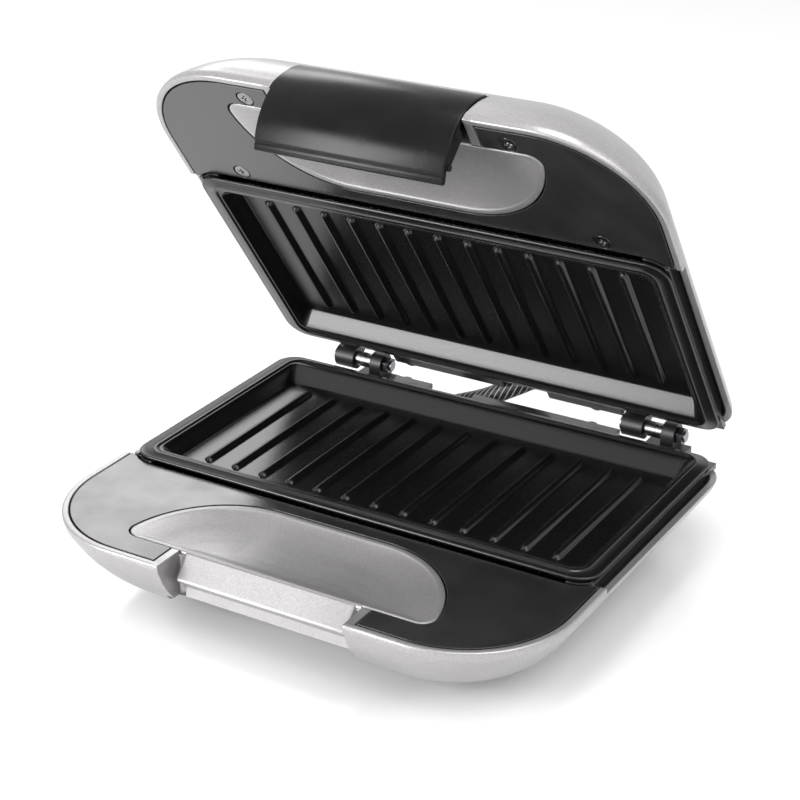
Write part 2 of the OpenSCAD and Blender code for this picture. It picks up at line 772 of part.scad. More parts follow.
// Blocks behind the base, each with one knuckle
module base_hinge_blocks() color("#222222") in_base() for (x = hinge_xs) difference() {
    union() {
        block(x + bush_x, x + block_l, body_rear, block_rear, block_top - block_h, block_top);
        rod_x(x + knuckle_x, x + knuckle_x + knuckle_l, hinge_back, hinge_rise, lug_r);
        translate([x + knuckle_x, 0, 0])
            block(0, knuckle_l, hinge_back - lug_r, block_rear, block_top - cut, hinge_rise);
    }
    rod_x(x, x + block_l, hinge_back, hinge_rise, pin_r + seat);
    for (b = base_bolts) rod_y(0, block_rear + cut, x + b, bolt_z, bolt_r + seat);
}

// Arms behind the lid, each with one lug
module lid_hinge_arms() color("#222222") in_lid() for (x = hinge_xs) difference() {
    union() {
        block(x, x + lug_l, body_rear, arm_rear, block_top - block_h, block_top);
        block(x, x + lug_l, hinge_back - 4.5, arm_rear, block_top - cut, lid_axis_z);
        rod_x(x, x + lug_l, hinge_back, lid_axis_z, lug_r);
    }
    rod_x(x - cut, x + lug_l + cut, hinge_back, lid_axis_z, pin_r + run_gap);
    for (b = lid_bolts) rod_y(0, block_rear + cut, x + b, bolt_z, bolt_r + seat);
}

module hinge_pins() color("lightgray") in_base() for (x = hinge_xs) {
    rod_x(x - seat - 1.2, x + nut_x + nut_l + 1, hinge_back, hinge_rise, pin_r);
    rod_x(x - seat - 1.2, x - seat, hinge_back, hinge_rise, pin_r + 1.2);
}

module hinge_bushes() color("silver") in_base() for (x = hinge_xs) difference() {
    rod_x(x + bush_x, x + bush_x + bush_l, hinge_back, hinge_rise, bush_r);
    rod_x(x, x + block_l, hinge_back, hinge_rise, pin_r + seat);
}

module hinge_nuts() color("gray") in_base() for (x = hinge_xs) difference() {
    translate([x + nut_x, hinge_back, hinge_rise]) rotate([0, 90, 0])
        cylinder(h = nut_l, r = nut_r, $fn = 6);
    rod_x(x, x + block_l, hinge_back, hinge_rise, pin_r + seat);
}

function unit(v) = v / norm(v);

// Round tube swept along points, with a level ring at each
module tube(route, r, sides) {
    last = len(route) - 1;
    along = [for (i = [0:last]) unit(route[min(i + 1, last)] - route[max(i - 1, 0)])];
    rings = [
        for (i = [0:last])
        let (u = unit(cross(along[i], [0.3, 0.4, 1])), v = cross(along[i], u))
        for (k = [0:sides - 1]) route[i] + r * (cos(360 * k / sides) * u + sin(360 * k / sides) * v)
    ];
    polyhedron(rings, concat(
        [[for (k = [0:sides - 1]) k]],
        [for (i = [0:last - 1]) for (k = [0:sides - 1])
            let (a = i * sides + k, b = i * sides + (k + 1) % sides)
            each [[a, a + sides, b + sides], [a, b + sides, b]]],
        [[for (k = [sides - 1:-1:0]) last * sides + k]]
    ));
}

module lead_sleeve() color("#2b2b2b") in_base() tube(sleeve_route, sleeve_r, 12);

module lens(x) {
    rod_z(floor_z - panel_t - 0.8, inner_floor_z + 0.5, [x, lens_y], lens_r);
    rod_z(inner_floor_z + seat, inner_floor_z + 1.2, [x, lens_y], lens_r + 1.6);
}

module power_lens() color("red") in_lid() lens(-lens_x);
module ready_lens() color("limegreen") in_lid() lens(lens_x);

// Board with two lamps, held off the lid's top on two feet
module lamp_board() color("tan") in_lid() {
    z = inner_floor_z + 6;
    block(-lens_x - 9, lens_x + 9, lens_y - 6, lens_y + 6, z, z + 1.6);
    for (x = [-lens_x, lens_x]) rod_z(inner_floor_z + 2, z + 0.5, [x, lens_y], 2.2);
    for (x = [-lens_x - 8, lens_x + 8]) rod_z(inner_floor_z + seat, z + 0.5, [x, lens_y], 1.2);
}

// Side view of the handle's curved plate with its rounded lower lip
module latch_profile() {
    intersection() {
        difference() {
            translate([latch_cy, latch_cz]) circle(r = latch_r, $fn = 120);
            translate([latch_cy, latch_cz]) circle(r = latch_r - latch_t, $fn = 120);
        }
        translate([latch_cy, latch_cz]) polygon([
            [0, 0], 2 * latch_r * [-cos(latch_down), sin(latch_down)], [-2 * latch_r, 0],
            2 * latch_r * [-cos(latch_up), -sin(latch_up)]
        ]);
    }
    translate([latch_cy, latch_cz]) rotate([0, 0, 180 - latch_down])
        translate([latch_r - 1.2, 0]) circle(r = lip_r);
}

// Web at each end of the handle, from the pivot down to the guide stub
module latch_arm_profile() {
    front_y = latch_cy - latch_r + 1;
    translate([pivot_y, pivot_z]) circle(r = 3.6);
    translate([guide_y, guide_z]) circle(r = guide_r);
    polygon([
        [front_y, latch_cz - 6], [pivot_y + 1, pivot_z - 3.4], [pivot_y + 3.6, pivot_z],
        [pivot_y + 2.6, 2], [guide_y + guide_r, guide_z], [guide_y, guide_z + guide_r],
        [front_y + 6, guide_z], [front_y, latch_cz + 6]
    ]);
}

module latch_handle() color("#18181a") in_lid() {
    across(latch_w) latch_profile();
    both_sides() {
        rotate([90, 0, 90]) translate([0, 0, arm_x - arm_t]) linear_extrude(arm_t) intersection() {
            latch_arm_profile();
            translate([latch_cy, latch_cz]) circle(r = latch_r - 0.5, $fn = 120);
        }
        rod_x(arm_x - seat, latch_w / 2 + stub_l, pivot_y, pivot_z, stub_r);
        rod_x(arm_x - seat, latch_w / 2 + 0.2, guide_y, guide_z, guide_r);
    }
}

base_shell();
base_deck();
base_finger_bowl();
lower_plate();
lower_element();
lower_element_clips();
lower_heat_shield();
thermostat();
thermal_fuse();
terminal_block();
cord_inlet_bush();
rubber_feet();
base_screws();
base_hinge_blocks();
base_hinge_screws();
hinge_pins();
hinge_bushes();
hinge_nuts();
lead_sleeve();
lid_shell();
lid_deck();
lid_finger_bowl();
upper_plate();
upper_element();
upper_element_clips();
upper_heat_shield();
power_lens();
ready_lens();
lamp_board();
lid_screws();
lid_hinge_arms();
lid_hinge_screws();
latch_handle();
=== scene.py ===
import bpy
import bmesh
import math
from mathutils import Matrix, Vector


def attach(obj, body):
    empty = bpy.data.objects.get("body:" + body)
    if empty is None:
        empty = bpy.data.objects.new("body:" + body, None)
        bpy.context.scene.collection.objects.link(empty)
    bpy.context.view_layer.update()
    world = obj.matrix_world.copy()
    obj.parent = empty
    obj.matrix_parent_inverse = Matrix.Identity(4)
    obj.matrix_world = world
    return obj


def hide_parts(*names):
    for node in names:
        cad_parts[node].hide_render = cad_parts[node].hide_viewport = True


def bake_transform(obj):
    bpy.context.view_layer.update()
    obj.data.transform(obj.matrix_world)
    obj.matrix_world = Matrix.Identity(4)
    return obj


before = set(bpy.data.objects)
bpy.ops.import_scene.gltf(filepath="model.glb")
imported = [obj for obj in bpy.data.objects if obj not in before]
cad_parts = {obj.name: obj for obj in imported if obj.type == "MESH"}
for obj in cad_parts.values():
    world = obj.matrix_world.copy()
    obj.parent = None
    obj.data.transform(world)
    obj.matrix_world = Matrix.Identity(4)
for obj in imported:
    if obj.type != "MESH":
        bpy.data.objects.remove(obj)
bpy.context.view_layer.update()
print("frame loaded")

# Each half is modelled in millimetres: y = 0 at the plates' hinge edge, z = 0 where the halves meet
halves = {
    "plateBack": 98.15,  # from the hinge edge of the plates to the middle of the base
    "flangeZ": 46.0,     # the meeting face over the table
    "hingeBack": 10.5,
    "hingeRise": 0.75,
    "shutGap": 0.4,
    "lidOpen": 54.6,     # degrees
}


def halfMatrix(half):
    h = halves
    toMetres = Matrix.Scale(0.001, 4)
    if half == "base":
        return toMetres @ Matrix.Translation((0, h["plateBack"], h["flangeZ"]))
    hinge = Matrix.Translation((0, h["plateBack"] + h["hingeBack"], h["flangeZ"] + h["hingeRise"]))
    turn = Matrix.Rotation(math.radians(-h["lidOpen"]), 4, "X")
    back = Matrix.Translation((0, -h["hingeBack"], h["shutGap"] - h["hingeRise"]))
    return toMetres @ hinge @ turn @ back @ Matrix.Diagonal((1, 1, -1, 1))


def toLinear(hexColour):
    channels = [int(hexColour[i:i + 2], 16) / 255 for i in (1, 3, 5)]
    return [c / 12.92 if c <= 0.04045 else ((c + 0.055) / 1.055) ** 2.4 for c in channels] + [1.0]


def addNode(tree, kind, settings=None, links=None):
    # settings go to sockets by name or number, or else to the node's own properties
    # links are (socket, node, output)
    node = tree.nodes.new(kind)
    for key, value in (settings or {}).items():
        if isinstance(key, int) or key in node.inputs:
            node.inputs[key].default_value = value
        else:
            setattr(node, key, value)
    for socket, source, output in links or []:
        tree.links.new(source.outputs[output], node.inputs[socket])
    return node


def newMaterial(name):
    material = bpy.data.materials.new(name)
    material.use_nodes = True
    material.node_tree.nodes.clear()
    return material, material.node_tree


def setRamp(node, stops):
    ramp = node.color_ramp
    while len(ramp.elements) < len(stops):
        ramp.elements.new(0.5)
    for element, (place, colour) in zip(ramp.elements, stops):
        element.position = place
        element.color = toLinear(colour)


def spreadNode(tree, noise, roughness, less, more):
    # roughness that wanders below and above its value with a noise, which runs mostly from 0.3 to 0.7
    return addNode(tree, "ShaderNodeMapRange",
                   {"From Min": 0.3, "From Max": 0.7, "To Min": roughness - less, "To Max": roughness + more},
                   [("Value", noise, "Fac")])


silverPaint = {
    "dark": "#979596", "light": "#A4A2A3",  # pigment and flake
    "flake": 0.45,                  # mm, real flakes are finer and wouldn't show
    "drift": 28.5714, "peel": 2.5,  # mm, clouds in the sheen and orange peel
    "roughness": 0.34, "metallic": 0.66, "edgeRound": 0.5,
}


def paintedPlastic(name, p):
    # ABS sprayed with silver flake paint: soft metallic sheen with a faint grain of sparkle
    material, tree = newMaterial(name)
    place = addNode(tree, "ShaderNodeTexCoord")
    flakes = addNode(tree, "ShaderNodeTexVoronoi", {"Scale": 1000 / p["flake"]},
                     [("Vector", place, "Object")])
    tone = addNode(tree, "ShaderNodeValToRGB", None, [("Fac", flakes, "Color")])
    setRamp(tone, [(0.25, p["dark"]), (0.8, p["light"])])
    drift = addNode(tree, "ShaderNodeTexNoise", {"Scale": 1000 / p["drift"], "Detail": 3.0},
                    [("Vector", place, "Object")])
    rough = spreadNode(tree, drift, p["roughness"], less=0.03, more=0.04)
    rounded = addNode(tree, "ShaderNodeBevel", {"samples": 6, "Radius": p["edgeRound"] / 1000})
    peel = addNode(tree, "ShaderNodeTexNoise", {"Scale": 1000 / p["peel"], "Detail": 2.0},
                   [("Vector", place, "Object")])
    bump = addNode(tree, "ShaderNodeBump", {"Strength": 0.05, "Distance": 0.0002},
                   [("Height", peel, "Fac"), ("Normal", rounded, "Normal")])
    shader = addNode(tree, "ShaderNodeBsdfPrincipled",
                     {"Metallic": p["metallic"], "IOR": 1.5, "Coat Weight": 0.15, "Coat Roughness": 0.25},
                     [("Base Color", tone, "Color"), ("Roughness", rough, "Result"),
                      ("Normal", bump, "Normal")])
    addNode(tree, "ShaderNodeOutputMaterial", None, [("Surface", shader, "BSDF")])
    return material


# cloud and grain are sizes in mm, depth is the grain's in metres
deckPlastic = {
    "dark": "#1C1B1B", "light": "#232222", "cloud": 16.6667, "grain": 0.8, "depth": 0.00006,
    "roughness": 0.22, "edgeRound": 0.4, "specular": 0.9,
}
latchPlastic = {
    "dark": "#0A0A0B", "light": "#101012", "cloud": 16.6667, "grain": 0.5, "depth": 0.0001,
    "roughness": 0.18, "edgeRound": 0.3, "specular": 0.17,
}
hingePlastic = {
    "dark": "#151517", "light": "#1E1E20", "cloud": 16.6667, "grain": 0.6, "depth": 0.00008,
    "roughness": 0.4, "edgeRound": 0.35, "specular": 0.5,
}
footRubber = {
    "dark": "#141415", "light": "#1D1D1E", "cloud": 16.6667, "grain": 0.5, "depth": 0.0001,
    "roughness": 0.7, "edgeRound": 0.4, "specular": 0.4,
}


def mouldedPlastic(name, p):
    # Moulded from a spark-eroded tool: even colour, a grain that softens the reflections
    material, tree = newMaterial(name)
    place = addNode(tree, "ShaderNodeTexCoord")
    cloud = addNode(tree, "ShaderNodeTexNoise", {"Scale": 1000 / p["cloud"], "Detail": 4.0},
                    [("Vector", place, "Object")])
    tone = addNode(tree, "ShaderNodeValToRGB", None, [("Fac", cloud, "Fac")])
    setRamp(tone, [(0.35, p["dark"]), (0.7, p["light"])])
    grain = addNode(tree, "ShaderNodeTexNoise", {"Scale": 1000 / p["grain"], "Detail": 2.0, "Roughness": 0.6},
                    [("Vector", place, "Object")])
    rough = spreadNode(tree, cloud, p["roughness"], less=0.03, more=0.05)
    rounded = addNode(tree, "ShaderNodeBevel", {"samples": 6, "Radius": p["edgeRound"] / 1000})
    bump = addNode(tree, "ShaderNodeBump", {"Strength": 0.5, "Distance": p["depth"]},
                   [("Height", grain, "Fac"), ("Normal", rounded, "Normal")])
    shader = addNode(tree, "ShaderNodeBsdfPrincipled",
                     {"Metallic": 0.0, "IOR": 1.5, "Specular IOR Level": p["specular"]},
                     [("Base Color", tone, "Color"), ("Roughness", rough, "Result"),
                      ("Normal", bump, "Normal")])
    addNode(tree, "ShaderNodeOutputMaterial", None, [("Surface", shader, "BSDF")])
    return material


sleeveBraid = {
    # the pale colour is a painted highlight laid along the crest of each yarn
    "dark": "#0C0C0D", "light": "#1C1C1E", "crestHighlight": "#A8A8AB", "roughness": 0.5,
    "starts": 10,                # yarns round the tube
    "pitch": 1.5, "lay": 0.35,   # over a pitch in mm, a yarn runs lay of the way to its neighbour
}


def braidedSleeve(name, p):
    # Woven glass yarn, black, with a painted highlight: pale slanting stripes along the yarn crests that run
    # round the tube
    material, tree = newMaterial(name)
    place = addNode(tree, "ShaderNodeUVMap", {"uv_map": "weave"})
    split = addNode(tree, "ShaderNodeSeparateXYZ", None, [("Vector", place, "UV")])
    turns = addNode(tree, "ShaderNodeMath", {"operation": "MULTIPLY", 1: float(p["starts"])},
                    [(0, split, "X")])
    along = addNode(tree, "ShaderNodeMath", {"operation": "MULTIPLY", 1: p["lay"] / p["pitch"]},
                    [(0, split, "Y")])
    lay = addNode(tree, "ShaderNodeMath", {"operation": "ADD"}, [(0, turns, "Value"), (1, along, "Value")])
    stripe = addNode(tree, "ShaderNodeMath", {"operation": "PINGPONG", 1: 0.5}, [(0, lay, "Value")])
    cross = addNode(tree, "ShaderNodeMath", {"operation": "SUBTRACT"},
                    [(0, along, "Value"), (1, turns, "Value")])
    under = addNode(tree, "ShaderNodeMath", {"operation": "PINGPONG", 1: 0.5}, [(0, cross, "Value")])
    yarn = addNode(tree, "ShaderNodeValToRGB", None, [("Fac", under, "Value")])
    setRamp(yarn, [(0.1, p["dark"]), (0.4, p["light"])])
    # the pale stripe on each yarn's crest is a painted highlight
    paintedCrestHighlight = addNode(tree, "ShaderNodeMapRange",
                   {"From Min": 0.38, "From Max": 0.46, "To Min": 0.0, "To Max": 1.0},
                   [("Value", stripe, "Value")])
    # sockets 6 and 7 are the two colours of the mix, output 2 is its colour
    tone = addNode(tree, "ShaderNodeMix", {"data_type": "RGBA", 7: toLinear(p["crestHighlight"])},
                   [(0, paintedCrestHighlight, "Result"), (6, yarn, "Color")])
    relief = addNode(tree, "ShaderNodeMath", {"operation": "MAXIMUM"},
                     [(0, stripe, "Value"), (1, under, "Value")])
    bump = addNode(tree, "ShaderNodeBump", {"Strength": 0.6, "Distance": 0.0004},
                   [("Height", relief, "Value")])
    shader = addNode(tree, "ShaderNodeBsdfPrincipled",
                     {"Metallic": 0.0, "IOR": 1.5, "Roughness": p["roughness"]},
                     [("Base Color", tone, 2), ("Normal", bump, "Normal")])
    addNode(tree, "ShaderNodeOutputMaterial", None, [("Surface", shader, "BSDF")])
    return material


nonStick = {
    "dark": "#0B0B0C", "light": "#161617", "speck": 0.9, "peel": 1.6,  # mm
    "roughness": 0.24, "specular": 0.5,
}


def nonStickCoat(name, p):
    # Cast aluminium sprayed with black non-stick: semi-gloss, slight orange peel, faint lighter specks
    material, tree = newMaterial(name)
    place = addNode(tree, "ShaderNodeTexCoord")
    specks = addNode(tree, "ShaderNodeTexNoise", {"Scale": 1000 / p["speck"], "Detail": 1.0},
                     [("Vector", place, "Object")])
    tone = addNode(tree, "ShaderNodeValToRGB", None, [("Fac", specks, "Fac")])
    setRamp(tone, [(0.5, p["dark"]), (0.75, p["light"])])
    peel = addNode(tree, "ShaderNodeTexNoise", {"Scale": 1000 / p["peel"], "Detail": 2.0},
                   [("Vector", place, "Object")])
    bump = addNode(tree, "ShaderNodeBump", {"Strength": 0.2, "Distance": 0.0001}, [("Height", peel, "Fac")])
    coat = {"Metallic": 0.0, "IOR": 1.5, "Specular IOR Level": p["specular"], "Roughness": p["roughness"]}
    shader = addNode(tree, "ShaderNodeBsdfPrincipled", coat,
                     [("Base Color", tone, "Color"), ("Normal", bump, "Normal")])
    addNode(tree, "ShaderNodeOutputMaterial", None, [("Surface", shader, "BSDF")])
    return material


metalMarks = 1.42857  # mm, real tool marks are finer and wouldn't show
zincSteel = {"dark": "#77777A", "light": "#9B9B9E", "roughness": 0.3}
blackSteel = {"dark": "#4A4A4D", "light": "#77777A", "roughness": 0.34}
nickelSteel = {"dark": "#6C6C6E", "light": "#9A9A9C", "roughness": 0.2}
heaterSteel = {"dark": "#6B6560", "light": "#8C857E", "roughness": 0.5}
shieldSheet = {"dark": "#BFC0C2", "light": "#D9DADB", "roughness": 0.25}


def turnedMetal(name, p):
    # Plated or rolled metal: fine irregular tool marks break up the reflection
    material, tree = newMaterial(name)
    place = addNode(tree, "ShaderNodeTexCoord")
    marks = addNode(tree, "ShaderNodeTexNoise", {"Scale": 1000 / metalMarks, "Detail": 4.0},
                    [("Vector", place, "Object")])
    tone = addNode(tree, "ShaderNodeValToRGB", None, [("Fac", marks, "Fac")])
    setRamp(tone, [(0.3, p["dark"]), (0.7, p["light"])])
    rough = spreadNode(tree, marks, p["roughness"], less=0.06, more=0.08)
    rounded = addNode(tree, "ShaderNodeBevel", {"samples": 6, "Radius": 0.0002})
    shader = addNode(tree, "ShaderNodeBsdfPrincipled", {"Metallic": 1.0},
                     [("Base Color", tone, "Color"), ("Roughness", rough, "Result"),
                      ("Normal", rounded, "Normal")])
    addNode(tree, "ShaderNodeOutputMaterial", None, [("Surface", shader, "BSDF")])
    return material


lensPlastic = {"red": ("#8E0A0A", "#B01512"), "green": ("#0B7A22", "#17962F")}
lensCloud = 4.0  # mm


def lampLens(name, colours):
    # Clear dyed acrylic over a frosted core: deep colour with a glossy skin
    material, tree = newMaterial(name)
    place = addNode(tree, "ShaderNodeTexCoord")
    cloud = addNode(tree, "ShaderNodeTexNoise", {"Scale": 1000 / lensCloud}, [("Vector", place, "Object")])
    tone = addNode(tree, "ShaderNodeValToRGB", None, [("Fac", cloud, "Fac")])
    setRamp(tone, [(0.3, colours[0]), (0.7, colours[1])])
    shader = addNode(tree, "ShaderNodeBsdfPrincipled",
                     {"IOR": 1.49, "Roughness": 0.12, "Coat Weight": 0.5, "Coat Roughness": 0.05},
                     [("Base Color", tone, "Color")])
    addNode(tree, "ShaderNodeOutputMaterial", None, [("Surface", shader, "BSDF")])
    return material


insulator = {
    "brown": ("#5A3A22", "#6B472B"), "white": ("#D8D4C8", "#E4E0D5"), "board": ("#8A6A3A", "#9C7A45"),
}
insulatorFinish = {
    "cloud": 16.6667, "grain": 0.7, "depth": 0.0001, "roughness": 0.5, "edgeRound": 0.25, "specular": 0.5,
}


def insulatorPlastic(name, tone):
    return mouldedPlastic(name, {"dark": tone[0], "light": tone[1], **insulatorFinish})


materials = {
    "silver": paintedPlastic("Silver flake paint on ABS", silverPaint),
    "deck": mouldedPlastic("Black satin PBT", deckPlastic),
    "latch": mouldedPlastic("Black grained nylon", latchPlastic),
    "hinge": mouldedPlastic("Black satin nylon", hingePlastic),
    "foot": mouldedPlastic("Black rubber", footRubber),
    "sleeve": braidedSleeve("Braided glass-fibre sleeve", sleeveBraid),
    "plate": nonStickCoat("Non-stick coat on cast aluminium", nonStick),
    "zinc": turnedMetal("Zinc-plated steel", zincSteel),
    "blackSteel": turnedMetal("Blackened steel", blackSteel),
    "nickel": turnedMetal("Nickel-plated steel", nickelSteel),
    "heater": turnedMetal("Annealed steel sheath", heaterSteel),
    "shield": turnedMetal("Aluminised sheet", shieldSheet),
    "red": lampLens("Red acrylic", lensPlastic["red"]),
    "green": lampLens("Green acrylic", lensPlastic["green"]),
    "brown": insulatorPlastic("Phenolic moulding", insulator["brown"]),
    "white": insulatorPlastic("White ceramic moulding", insulator["white"]),
    "board": insulatorPlastic("Paper-resin board", insulator["board"]),
}
print("materials made")

cadFinishes = {
    "base_deck": "deck", "lid_deck": "deck", "lower_element": "heater", "upper_element": "heater",
    "lower_element_clips": "zinc", "upper_element_clips": "zinc", "lower_heat_shield": "shield",
    "upper_heat_shield": "shield", "thermostat": "brown", "thermal_fuse": "white", "terminal_block": "white",
    "cord_inlet_bush": "foot", "rubber_feet": "foot", "base_screws": "blackSteel",
    "base_hinge_blocks": "hinge", "base_hinge_screws": "blackSteel", "hinge_pins": "zinc",
    "hinge_bushes": "zinc", "hinge_nuts": "blackSteel",
    "power_lens": "red", "ready_lens": "green", "lamp_board": "board", "lid_screws": "nickel",
    "lid_hinge_arms": "hinge", "lid_hinge_screws": "blackSteel",
}
for nodeName, finish in cadFinishes.items():
    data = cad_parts[nodeName].data
    data.materials.clear()
    data.materials.append(materials[finish])


touch = 0.01  # mm, keeps two faces from lying in one plane


def placeObject(name, data):
    thing = bpy.data.objects.new(name, data)
    bpy.context.scene.collection.objects.link(thing)
    return thing


def faceOutwards(mesh):
    work = bmesh.new()
    work.from_mesh(mesh)
    bmesh.ops.recalc_face_normals(work, faces=work.faces)
    work.to_mesh(mesh)
    work.free()


def finishMesh(name, mesh, half, material, body, nodes, sharp=35):
    # takes a mesh from its half's millimetres to the frame and dresses it; the sleeve has no body of its own
    mesh.transform(halfMatrix(half))
    faceOutwards(mesh)
    mesh.polygons.foreach_set("use_smooth", [True] * len(mesh.polygons))
    mesh.set_sharp_from_angle(angle=math.radians(sharp))
    mesh.materials.clear()
    mesh.materials.append(material)
    piece = placeObject(name, mesh)
    if body:
        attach(piece, body)
    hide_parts(*nodes)
    return piece


def loftMesh(name, rings, caps=True, closed=True):
    # skin through rings of equal point counts, each point (x, y, z)
    verts = [p for ring in rings for p in ring]
    n = len(rings[0])
    faces = []
    for k in range(len(rings) - 1):
        for i in range(n if closed else n - 1):
            j = (i + 1) % n
            faces.append((k * n + i, k * n + j, (k + 1) * n + j, (k + 1) * n + i))
    if caps:
        faces.append(tuple(range(n - 1, -1, -1)))
        faces.append(tuple((len(rings) - 1) * n + i for i in range(n)))
    mesh = bpy.data.meshes.new(name)
    mesh.from_pydata(verts, [], faces)
    return mesh


def joinMeshes(name, meshes):
    joined = bmesh.new()
    for mesh in meshes:
        joined.from_mesh(mesh)
    result = bpy.data.meshes.new(name)
    joined.to_mesh(result)
    joined.free()
    return result


def carve(mesh, cutters, mode="DIFFERENCE"):
    # booleans one after another on a throwaway object
    body = placeObject("carveBody", mesh)
    tools = []
    for cutter in cutters:
        faceOutwards(cutter)
        tool = placeObject("carveTool", cutter)
        tools.append(tool)
        step = body.modifiers.new("carve", "BOOLEAN")
        step.operation = mode
        step.solver = "EXACT"
        step.object = tool
    bpy.context.view_layer.update()
    carved = body.evaluated_get(bpy.context.evaluated_depsgraph_get())
    result = bpy.data.meshes.new_from_object(carved)
    for thing in [body] + tools:
        bpy.data.objects.remove(thing)
    return result


def arcPoints(cx, cy, r, start, end, n):
    turns = [math.radians(start + (end - start) * i / n) for i in range(n + 1)]
    return [(cx + r * math.cos(turn), cy + r * math.sin(turn)) for turn in turns]


def circlePoints(cx, cy, r, n=24):
    return arcPoints(cx, cy, r, 0, 360 - 360 / n, n - 1)


def quarterRound(radius, angles):
    # a rounded edge in steps: how far in and how far down each one lies
    turns = [math.radians(angle) for angle in angles]
    return [(radius * (1 - math.cos(turn)), radius * (1 - math.sin(turn))) for turn in turns]


def roundRing(width, front, back, rFront, rBack, n):
    half = width / 2
    return (arcPoints(-half + rFront, front + rFront, rFront, 180, 270, n)
            + arcPoints(half - rFront, front + rFront, rFront, 270, 360, n)
            + arcPoints(half - rBack, back - rBack, rBack, 0, 90, n)
            + arcPoints(-half + rBack, back - rBack, rBack, 90, 180, n))


def smoothRow(rows, k, t):
    # cubic through rows of numbers, a share t of the way from row k to the next; column 0 spaces them
    a, b = rows[k], rows[k + 1]
    before, after = rows[max(k - 1, 0)], rows[min(k + 2, len(rows) - 1)]
    span = b[0] - a[0]
    result = []
    for c in range(len(a)):
        slopeA = (b[c] - before[c]) / max(b[0] - before[0], 1e-6)
        slopeB = (after[c] - a[c]) / max(after[0] - a[0], 1e-6)
        start = (2 * t**3 - 3 * t**2 + 1) * a[c] + (t**3 - 2 * t**2 + t) * span * slopeA
        result.append(start + (3 * t**2 - 2 * t**3) * b[c] + (t**3 - t**2) * span * slopeB)
    return result


def atHeight(outline, z):
    return [(x, y, z) for x, y in outline]


def prism(name, outline, z0, z1):
    return loftMesh(name, [atHeight(outline, z0), atHeight(outline, z1)])


def prismAcross(name, profile, x0, x1):
    # profile is (y, z) points
    return loftMesh(name, [[(x, y, z) for y, z in profile] for x in (x0, x1)])


def boxMesh(name, x0, x1, y0, y1, z0, z1):
    return prism(name, [(x0, y0), (x1, y0), (x1, y1), (x0, y1)], z0, z1)


# Housing shells of both halves: painted skin with a rounded lip, a raised middle panel, the notch
# for the latch and, in the base, the catch nose across it
housing = {
    "width": 241.0, "front": -200.3, "rear": 4.0, "depth": 39.0, "lip": -3.0, "wall": 2.9, "seam": 0.8,
    "nose": 49.3, "tail": 20.0, "leastCorner": 2,        # corner radii at the front and the rear
    "lipRound": 0.7, "innerRound": 0.3, "cornerPoints": 26, "skinRings": 44,
    "stepY": -124.0, "edge": -5.5, "stepHalf": 130.0, "stepRear": 20.0,  # the sides stand lower behind stepY
    "notchWidth": 89.0, "notchBack": -185.2, "notchHeight": 23.0, "notchRound": 2.0, "notchEnd": 3.6,
    "panelWidth": 115.0, "panelHeight": 0.7, "panelTop": -38.6,
    "slots": {"base": -24.0, "lid": 20.0}, "slotHalf": 5.2, "slotY": (-12.0, 6.0),  # the sleeve's way out
    "slotFloor": -13.0, "slotCentre": -10.5,
    "scoopStart": 3.5, "scoopLead": 9.5,
    "scoopFlare": 0.62, "scoopRun": 2.0,                 # mm outwards to each mm back, mm back to each mm down
    "spare": 2.0,                                        # how far cutters reach past the skin
}
# depth out of 36, draw-in at the sides, front and rear, and shrinking of the front and rear corner radii
stations = [
    (0, 0, 0, 0, 0, 0), (3, 0.2, 0.2, 0, 0.1, 0), (5.6, 1.2, 1.2, 0, 0.5, 0), (9, 3.4, 2.6, 0, 1, 0),
    (13, 6.1, 4.7, 0, 2, 1), (17, 8.9, 7.5, 0, 3, 2), (21, 12, 11, 1, 4.4, 3), (25, 15.6, 15.3, 2.8, 6, 4.4),
    (29, 20, 20.6, 5.4, 8.4, 6), (33, 25.8, 27, 9.4, 11.6, 8), (36, 33, 34, 15, 16, 11),
]
nose = {
    "halfWidth": 41.0, "out": 7.8, "drop": -12.0, "radius": 1.2, "crest": (132, 242),  # crest in degrees
    "endRound": 1.2, "root": 0.6, "rootTop": 1.8, "slopeTop": 0.1,  # root inside the notch's wall
    "recess": -186.8, "recessTop": -18.0,
}


def smoothStations(count):
    # more stations on one curve, so that the skin has no bands
    deepest = stations[-1][0]
    result = []
    for i in range(count + 1):
        d = deepest * i / count
        k = max(j for j in range(len(stations) - 1) if stations[j][0] <= d + 1e-9)
        t = (d - stations[k][0]) / (stations[k + 1][0] - stations[k][0])
        result.append([d] + smoothRow(stations, k, t)[1:])
    return result


def housingRing(station, wall, z):
    h = housing
    _, sides, front, rear, noseLoss, tailLoss = station
    noseRound = h["nose"] - noseLoss - wall
    tailRound = max(h["tail"] - tailLoss - wall, h["leastCorner"])
    ring = roundRing(h["width"] - 2 * (sides + wall), h["front"] + front + wall, h["rear"] - rear - wall,
                     noseRound, tailRound, h["cornerPoints"])
    return atHeight(ring, z)


def housingRows(rows, wall):
    deep = housing["depth"] + housing["lip"] - wall
    return [housingRing(s, wall, housing["lip"] - s[0] / stations[-1][0] * deep) for s in rows]


def panelMesh(rows):
    # the raised middle of the outside, sliced from a slightly larger skin
    h = housing
    half = h["panelWidth"] / 2
    proud = loftMesh("proud", housingRows(rows, -h["panelHeight"]))
    hollow = loftMesh("hollow", housingRows(rows, h["wall"] / 2))
    belt = boxMesh("belt", -half, half, h["front"], h["rear"], -h["depth"] - h["spare"], h["panelTop"])
    return carve(carve(proud, [belt], "INTERSECT"), [hollow])


def notchWallMesh(rows):
    # block behind and beside the notch, kept inside the outer skin
    h = housing
    half, end = h["notchWidth"] / 2, h["notchEnd"]
    outer = list(reversed(housingRows(rows, 0)[1:]))
    solid = loftMesh("notchWall", outer + [housingRing(rows[0], 0, h["lip"])])
    block = boxMesh("notchBlock", -half - end, half + end, h["front"] - h["spare"], h["notchBack"] + end,
                    -h["notchHeight"] - end, h["lip"] - touch)
    return carve(solid, [block], "INTERSECT")


